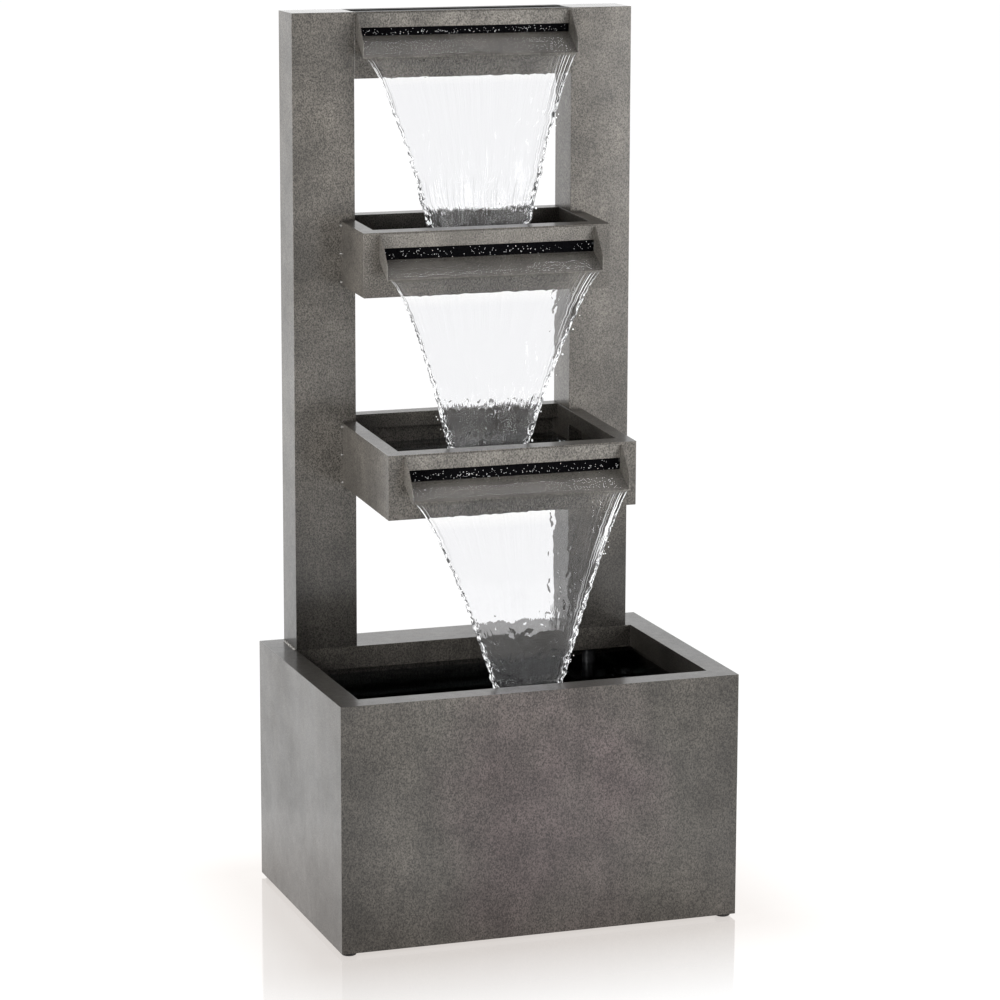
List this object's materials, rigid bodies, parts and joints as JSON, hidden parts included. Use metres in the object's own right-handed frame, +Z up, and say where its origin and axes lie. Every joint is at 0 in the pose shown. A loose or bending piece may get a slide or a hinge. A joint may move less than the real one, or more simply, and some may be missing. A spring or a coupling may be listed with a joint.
{
  "type": "cascade water fountain",
  "caption": "Free-standing sheet-metal cascade fountain: a basin, a column frame, a header trough and stepped trays whose spouts pour sheets of water, with a submerged pump.",
  "frame": {"origin": "on the ground, under the middle of the base", "axes": "+Z up; -Y is the pouring front, +X is the viewer's right when facing the spouts"},
  "size_m": [0.5, 0.35, 1.085],
  "materials": {
    "zinc_sheet": "weathered zinc-coated sheet, fine grain, satin",
    "spout_sheet": "zinc-coated sheet, a little lighter and smoother",
    "weld_bead": "bright weld tacks",
    "diffuser_foam": "black open-cell foam, wet",
    "black_rubber": "matte black rubber",
    "hose_pvc": "black flexible PVC",
    "pump_plastic": "moulded black plastic",
    "fitting_plastic": "moulded dark grey plastic",
    "dial_plastic": "moulded grey plastic",
    "rotor_plastic": "moulded white plastic",
    "stainless": "stainless steel, satin",
    "ceramic_shaft": "polished ceramic",
    "water": "clear moving water"
  },
  "bodies": {
    "root": {"base_shell": "zinc_sheet", "base_floor": "zinc_sheet", "base_feet": "black_rubber", "left_column": "zinc_sheet", "right_column": "zinc_sheet", "header_trough": "zinc_sheet", "header_floor": "zinc_sheet", "middle_tray": "zinc_sheet", "middle_tray_floor": "zinc_sheet", "lower_tray": "zinc_sheet", "lower_tray_floor": "zinc_sheet", "top_spout": "spout_sheet", "middle_spout": "spout_sheet", "lower_spout": "spout_sheet", "top_slot_strip": "spout_sheet", "middle_slot_strip": "spout_sheet", "lower_slot_strip": "spout_sheet", "top_foam": "diffuser_foam", "middle_foam": "diffuser_foam", "lower_foam": "diffuser_foam", "tray_weld_tacks": "weld_bead", "column_weld_tacks": "weld_bead", "riser_hose": "hose_pvc", "hose_clamps": "stainless", "hose_grommet": "black_rubber", "cable_grommets": "black_rubber", "inlet_elbow": "fitting_plastic", "inlet_nut": "fitting_plastic", "inlet_gasket": "black_rubber", "pump_housing": "pump_plastic", "pump_chamber": "pump_plastic", "pump_screws": "stainless", "pump_gland": "black_rubber", "suction_cups": "black_rubber", "impeller_shaft": "ceramic_shaft", "shaft_bushes": "black_rubber"},
    "rotor": {"impeller": "rotor_plastic"},
    "cover": {"intake_cover": "pump_plastic"},
    "dial": {"flow_dial": "dial_plastic"}
  },
  "joints": [
    {"name": "impeller_spin", "type": "hinge", "parent": "root", "child": "rotor", "pos_m": [0.174, 0.137, 0.0412], "axis": [1, 0, 0], "continuous": true},
    {"name": "cover_pull", "type": "slide", "parent": "root", "child": "cover", "axis": [-1, 0, 0], "range_m": [0, 0.04]},
    {"name": "dial_turn", "type": "hinge", "parent": "cover", "child": "dial", "pos_m": [0.129, 0.137, 0.0412], "axis": [-1, 0, 0], "range_deg": [0, 90]}
  ]
}
